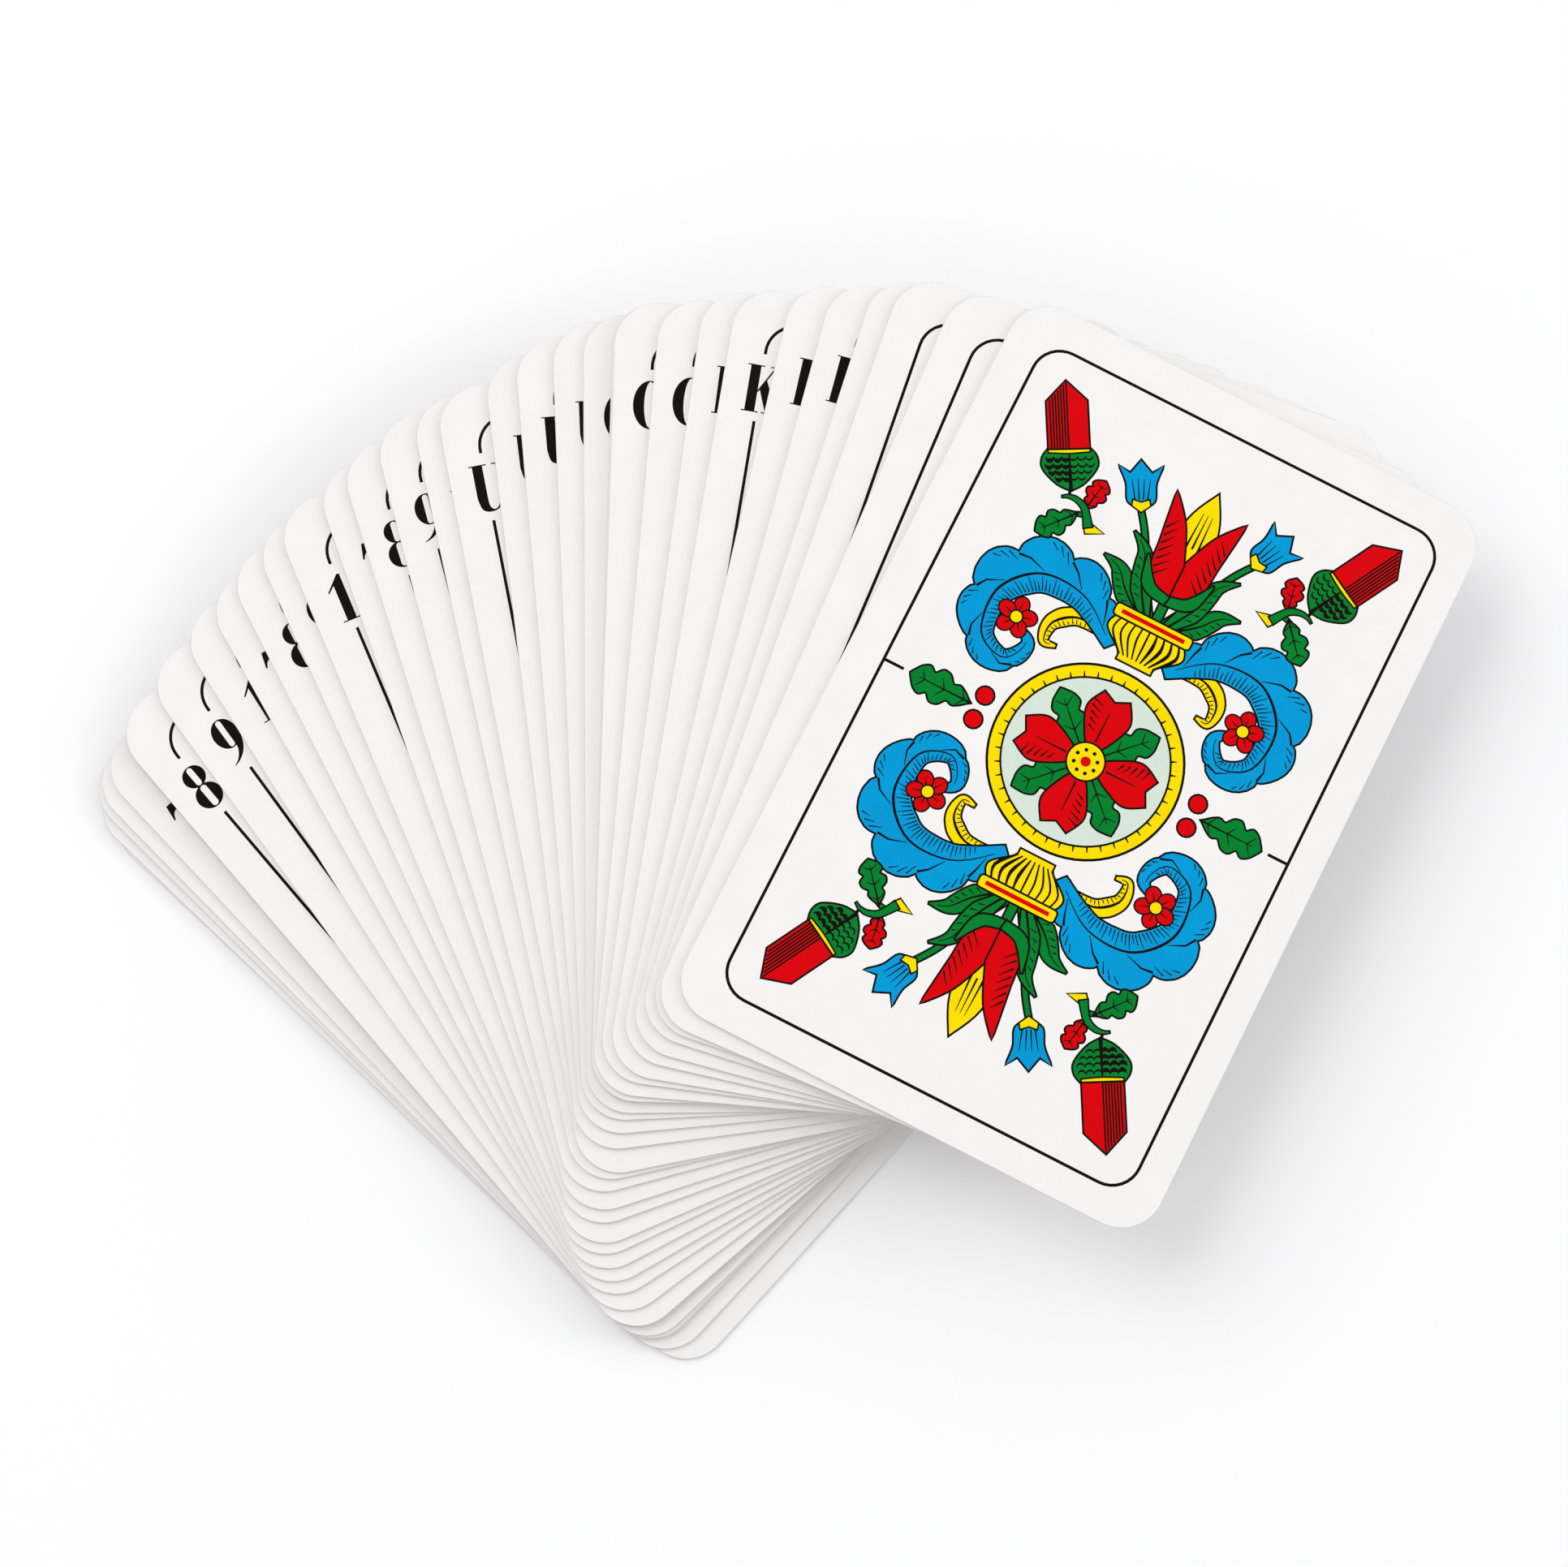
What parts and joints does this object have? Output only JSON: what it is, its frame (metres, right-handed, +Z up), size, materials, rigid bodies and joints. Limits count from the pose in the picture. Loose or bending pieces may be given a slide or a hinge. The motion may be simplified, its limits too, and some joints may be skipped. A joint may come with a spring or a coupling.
{
  "type": "playing card deck",
  "caption": "Pack of German-suited playing cards spread as a clockwise fan; each card is a loose rounded plate that turns so the fan closes to a square pack.",
  "frame": {"origin": "centre of the bottom card's underside, which lies on the table", "axes": "+Z up, +Y along the bottom card's length to its head, +X across it; the fan opens clockwise seen from +Z"},
  "size_m": [0.1319, 0.1248, 0.01],
  "materials": {
    "card_board": "varnished print, satin"
  },
  "bodies": {
    "seven_of_bells": {"seven_of_bells": "card_board"},
    "eight_of_bells": {"eight_of_bells": "card_board"},
    "nine_of_bells": {"nine_of_bells": "card_board"},
    "ten_of_bells": {"ten_of_bells": "card_board"},
    "seven_of_hearts": {"seven_of_hearts": "card_board"},
    "eight_of_hearts": {"eight_of_hearts": "card_board"},
    "nine_of_hearts": {"nine_of_hearts": "card_board"},
    "ten_of_hearts": {"ten_of_hearts": "card_board"},
    "seven_of_leaves": {"seven_of_leaves": "card_board"},
    "eight_of_leaves": {"eight_of_leaves": "card_board"},
    "nine_of_leaves": {"nine_of_leaves": "card_board"},
    "ten_of_leaves": {"ten_of_leaves": "card_board"},
    "seven_of_acorns": {"seven_of_acorns": "card_board"},
    "eight_of_acorns": {"eight_of_acorns": "card_board"},
    "nine_of_acorns": {"nine_of_acorns": "card_board"},
    "ten_of_acorns": {"ten_of_acorns": "card_board"},
    "unter_of_bells": {"unter_of_bells": "card_board"},
    "unter_of_hearts": {"unter_of_hearts": "card_board"},
    "unter_of_leaves": {"unter_of_leaves": "card_board"},
    "unter_of_acorns": {"unter_of_acorns": "card_board"},
    "ober_of_bells": {"ober_of_bells": "card_board"},
    "ober_of_hearts": {"ober_of_hearts": "card_board"},
    "ober_of_leaves": {"ober_of_leaves": "card_board"},
    "ober_of_acorns": {"ober_of_acorns": "card_board"},
    "king_of_bells": {"king_of_bells": "card_board"},
    "king_of_hearts": {"king_of_hearts": "card_board"},
    "king_of_leaves": {"king_of_leaves": "card_board"},
    "king_of_acorns": {"king_of_acorns": "card_board"},
    "ace_of_bells": {"ace_of_bells": "card_board"},
    "ace_of_hearts": {"ace_of_hearts": "card_board"},
    "ace_of_leaves": {"ace_of_leaves": "card_board"},
    "ace_of_acorns": {"ace_of_acorns": "card_board"}
  },
  "joints": [
    {"name": "fan_spread", "type": "hinge", "parent": "seven_of_bells", "child": "ace_of_acorns", "pos_m": [0.00478, -0.04917, 0], "axis": [0, 0, -1], "range_deg": [-74.25, 45.75]},
    {"name": "turn_ace_of_leaves", "type": "hinge", "parent": "seven_of_bells", "child": "ace_of_leaves", "pos_m": [0.00526, -0.04855, 0], "axis": [0, 0, -1], "range_deg": [-70.3, 43.32]},
    {"name": "turn_ace_of_hearts", "type": "hinge", "parent": "seven_of_bells", "child": "ace_of_hearts", "pos_m": [0.00634, -0.0494, 0], "axis": [0, 0, -1], "range_deg": [-66.33, 40.88]},
    {"name": "turn_ace_of_bells", "type": "hinge", "parent": "seven_of_bells", "child": "ace_of_bells", "pos_m": [0.00651, -0.04881, 0], "axis": [0, 0, -1], "range_deg": [-65, 40.06]},
    {"name": "turn_king_of_acorns", "type": "hinge", "parent": "seven_of_bells", "child": "king_of_acorns", "pos_m": [0.00643, -0.04852, 0], "axis": [0, 0, -1], "range_deg": [-62.36, 38.43]},
    {"name": "turn_king_of_leaves", "type": "hinge", "parent": "seven_of_bells", "child": "king_of_leaves", "pos_m": [0.00681, -0.04814, 0], "axis": [0, 0, -1], "range_deg": [-59.95, 36.95]},
    {"name": "turn_king_of_hearts", "type": "hinge", "parent": "seven_of_bells", "child": "king_of_hearts", "pos_m": [0.00736, -0.04764, 0], "axis": [0, 0, -1], "range_deg": [-56.58, 34.87]},
    {"name": "turn_king_of_bells", "type": "hinge", "parent": "seven_of_bells", "child": "king_of_bells", "pos_m": [0.00807, -0.04701, 0], "axis": [0, 0, -1], "range_deg": [-54.77, 33.76]},
    {"name": "turn_ober_of_acorns", "type": "hinge", "parent": "seven_of_bells", "child": "ober_of_acorns", "pos_m": [0.00845, -0.04669, 0], "axis": [0, 0, -1], "range_deg": [-52.01, 32.05]},
    {"name": "turn_ober_of_leaves", "type": "hinge", "parent": "seven_of_bells", "child": "ober_of_leaves", "pos_m": [0.00982, -0.04748, 0], "axis": [0, 0, -1], "range_deg": [-48.76, 30.05]},
    {"name": "turn_ober_of_hearts", "type": "hinge", "parent": "seven_of_bells", "child": "ober_of_hearts", "pos_m": [0.00992, -0.04744, 0], "axis": [0, 0, -1], "range_deg": [-48.64, 29.98]},
    {"name": "turn_ober_of_bells", "type": "hinge", "parent": "seven_of_bells", "child": "ober_of_bells", "pos_m": [0.00999, -0.04702, 0], "axis": [0, 0, -1], "range_deg": [-46.71, 28.79]},
    {"name": "turn_unter_of_acorns", "type": "hinge", "parent": "seven_of_bells", "child": "unter_of_acorns", "pos_m": [0.01079, -0.04687, 0], "axis": [0, 0, -1], "range_deg": [-44.67, 27.53]},
    {"name": "turn_unter_of_leaves", "type": "hinge", "parent": "seven_of_bells", "child": "unter_of_leaves", "pos_m": [0.01112, -0.04674, 0], "axis": [0, 0, -1], "range_deg": [-42.02, 25.9]},
    {"name": "turn_unter_of_hearts", "type": "hinge", "parent": "seven_of_bells", "child": "unter_of_hearts", "pos_m": [0.01083, -0.04599, 0], "axis": [0, 0, -1], "range_deg": [-39.97, 24.64]},
    {"name": "turn_unter_of_bells", "type": "hinge", "parent": "seven_of_bells", "child": "unter_of_bells", "pos_m": [0.01051, -0.04607, 0], "axis": [0, 0, -1], "range_deg": [-36, 22.19]},
    {"name": "turn_ten_of_acorns", "type": "hinge", "parent": "seven_of_bells", "child": "ten_of_acorns", "pos_m": [0.0114, -0.04491, 0], "axis": [0, 0, -1], "range_deg": [-34.68, 21.37]},
    {"name": "turn_nine_of_acorns", "type": "hinge", "parent": "seven_of_bells", "child": "nine_of_acorns", "pos_m": [0.01254, -0.0435, 0], "axis": [0, 0, -1], "range_deg": [-32.27, 19.89]},
    {"name": "turn_eight_of_acorns", "type": "hinge", "parent": "seven_of_bells", "child": "eight_of_acorns", "pos_m": [0.01249, -0.04276, 0], "axis": [0, 0, -1], "range_deg": [-29.5, 18.19]},
    {"name": "turn_seven_of_acorns", "type": "hinge", "parent": "seven_of_bells", "child": "seven_of_acorns", "pos_m": [0.01252, -0.04178, 0], "axis": [0, 0, -1], "range_deg": [-27.58, 17]},
    {"name": "turn_ten_of_leaves", "type": "hinge", "parent": "seven_of_bells", "child": "ten_of_leaves", "pos_m": [0.01318, -0.0405, 0], "axis": [0, 0, -1], "range_deg": [-24.09, 14.85]},
    {"name": "turn_nine_of_leaves", "type": "hinge", "parent": "seven_of_bells", "child": "nine_of_leaves", "pos_m": [0.01367, -0.03925, 0], "axis": [0, 0, -1], "range_deg": [-22.28, 13.74]},
    {"name": "turn_eight_of_leaves", "type": "hinge", "parent": "seven_of_bells", "child": "eight_of_leaves", "pos_m": [0.01421, -0.03803, 0], "axis": [0, 0, -1], "range_deg": [-19.76, 12.18]},
    {"name": "turn_seven_of_leaves", "type": "hinge", "parent": "seven_of_bells", "child": "seven_of_leaves", "pos_m": [0.01455, -0.03692, 0], "axis": [0, 0, -1], "range_deg": [-17.47, 10.77]},
    {"name": "turn_ten_of_hearts", "type": "hinge", "parent": "seven_of_bells", "child": "ten_of_hearts", "pos_m": [0.01657, -0.03539, 0], "axis": [0, 0, -1], "range_deg": [-14.7, 9.07]},
    {"name": "turn_nine_of_hearts", "type": "hinge", "parent": "seven_of_bells", "child": "nine_of_hearts", "pos_m": [0.02124, -0.03283, 0], "axis": [0, 0, -1], "range_deg": [-10.73, 6.62]},
    {"name": "turn_eight_of_hearts", "type": "hinge", "parent": "seven_of_bells", "child": "eight_of_hearts", "pos_m": [0.03268, -0.02802, 0], "axis": [0, 0, -1], "range_deg": [-6.52, 4.02]},
    {"name": "turn_seven_of_hearts", "type": "hinge", "parent": "seven_of_bells", "child": "seven_of_hearts", "pos_m": [0.05081, -0.022, 0], "axis": [0, 0, -1], "range_deg": [-3.75, 2.32]},
    {"name": "turn_ten_of_bells", "type": "hinge", "parent": "seven_of_bells", "child": "ten_of_bells", "pos_m": [0.08152, -0.01391, 0], "axis": [0, 0, -1], "range_deg": [-2.43, 1.5]},
    {"name": "turn_nine_of_bells", "type": "hinge", "parent": "seven_of_bells", "child": "nine_of_bells", "pos_m": [0.11813, -0.00876, 0], "axis": [0, 0, -1], "range_deg": [-1.7, 1.06]},
    {"name": "turn_eight_of_bells", "type": "hinge", "parent": "seven_of_bells", "child": "eight_of_bells", "pos_m": [0.16617, 0.01661, 0], "axis": [0, 0, -1], "range_deg": [-0.74, 0.46]}
  ],
  "couplings": [
    {"joint": "turn_ace_of_leaves", "follows": "fan_spread", "ratio": 0.94651},
    {"joint": "turn_ace_of_hearts", "follows": "fan_spread", "ratio": 0.89303},
    {"joint": "turn_ace_of_bells", "follows": "fan_spread", "ratio": 0.8752},
    {"joint": "turn_king_of_acorns", "follows": "fan_spread", "ratio": 0.83955},
    {"joint": "turn_king_of_leaves", "follows": "fan_spread", "ratio": 0.80713},
    {"joint": "turn_king_of_hearts", "follows": "fan_spread", "ratio": 0.76175},
    {"joint": "turn_king_of_bells", "follows": "fan_spread", "ratio": 0.73744},
    {"joint": "turn_ober_of_acorns", "follows": "fan_spread", "ratio": 0.70016},
    {"joint": "turn_ober_of_leaves", "follows": "fan_spread", "ratio": 0.6564},
    {"joint": "turn_ober_of_hearts", "follows": "fan_spread", "ratio": 0.65478},
    {"joint": "turn_ober_of_bells", "follows": "fan_spread", "ratio": 0.62885},
    {"joint": "turn_unter_of_acorns", "follows": "fan_spread", "ratio": 0.6013},
    {"joint": "turn_unter_of_leaves", "follows": "fan_spread", "ratio": 0.56564},
    {"joint": "turn_unter_of_hearts", "follows": "fan_spread", "ratio": 0.53809},
    {"joint": "turn_unter_of_bells", "follows": "fan_spread", "ratio": 0.4846},
    {"joint": "turn_ten_of_acorns", "follows": "fan_spread", "ratio": 0.46677},
    {"joint": "turn_nine_of_acorns", "follows": "fan_spread", "ratio": 0.43436},
    {"joint": "turn_eight_of_acorns", "follows": "fan_spread", "ratio": 0.39708},
    {"joint": "turn_seven_of_acorns", "follows": "fan_spread", "ratio": 0.37115},
    {"joint": "turn_ten_of_leaves", "follows": "fan_spread", "ratio": 0.32415},
    {"joint": "turn_nine_of_leaves", "follows": "fan_spread", "ratio": 0.29984},
    {"joint": "turn_eight_of_leaves", "follows": "fan_spread", "ratio": 0.2658},
    {"joint": "turn_seven_of_leaves", "follows": "fan_spread", "ratio": 0.23501},
    {"joint": "turn_ten_of_hearts", "follows": "fan_spread", "ratio": 0.19773},
    {"joint": "turn_nine_of_hearts", "follows": "fan_spread", "ratio": 0.14425},
    {"joint": "turn_eight_of_hearts", "follows": "fan_spread", "ratio": 0.08752},
    {"joint": "turn_seven_of_hearts", "follows": "fan_spread", "ratio": 0.050243},
    {"joint": "turn_ten_of_bells", "follows": "fan_spread", "ratio": 0.032415},
    {"joint": "turn_nine_of_bells", "follows": "fan_spread", "ratio": 0.02269},
    {"joint": "turn_eight_of_bells", "follows": "fan_spread", "ratio": 0.009724}
  ]
}
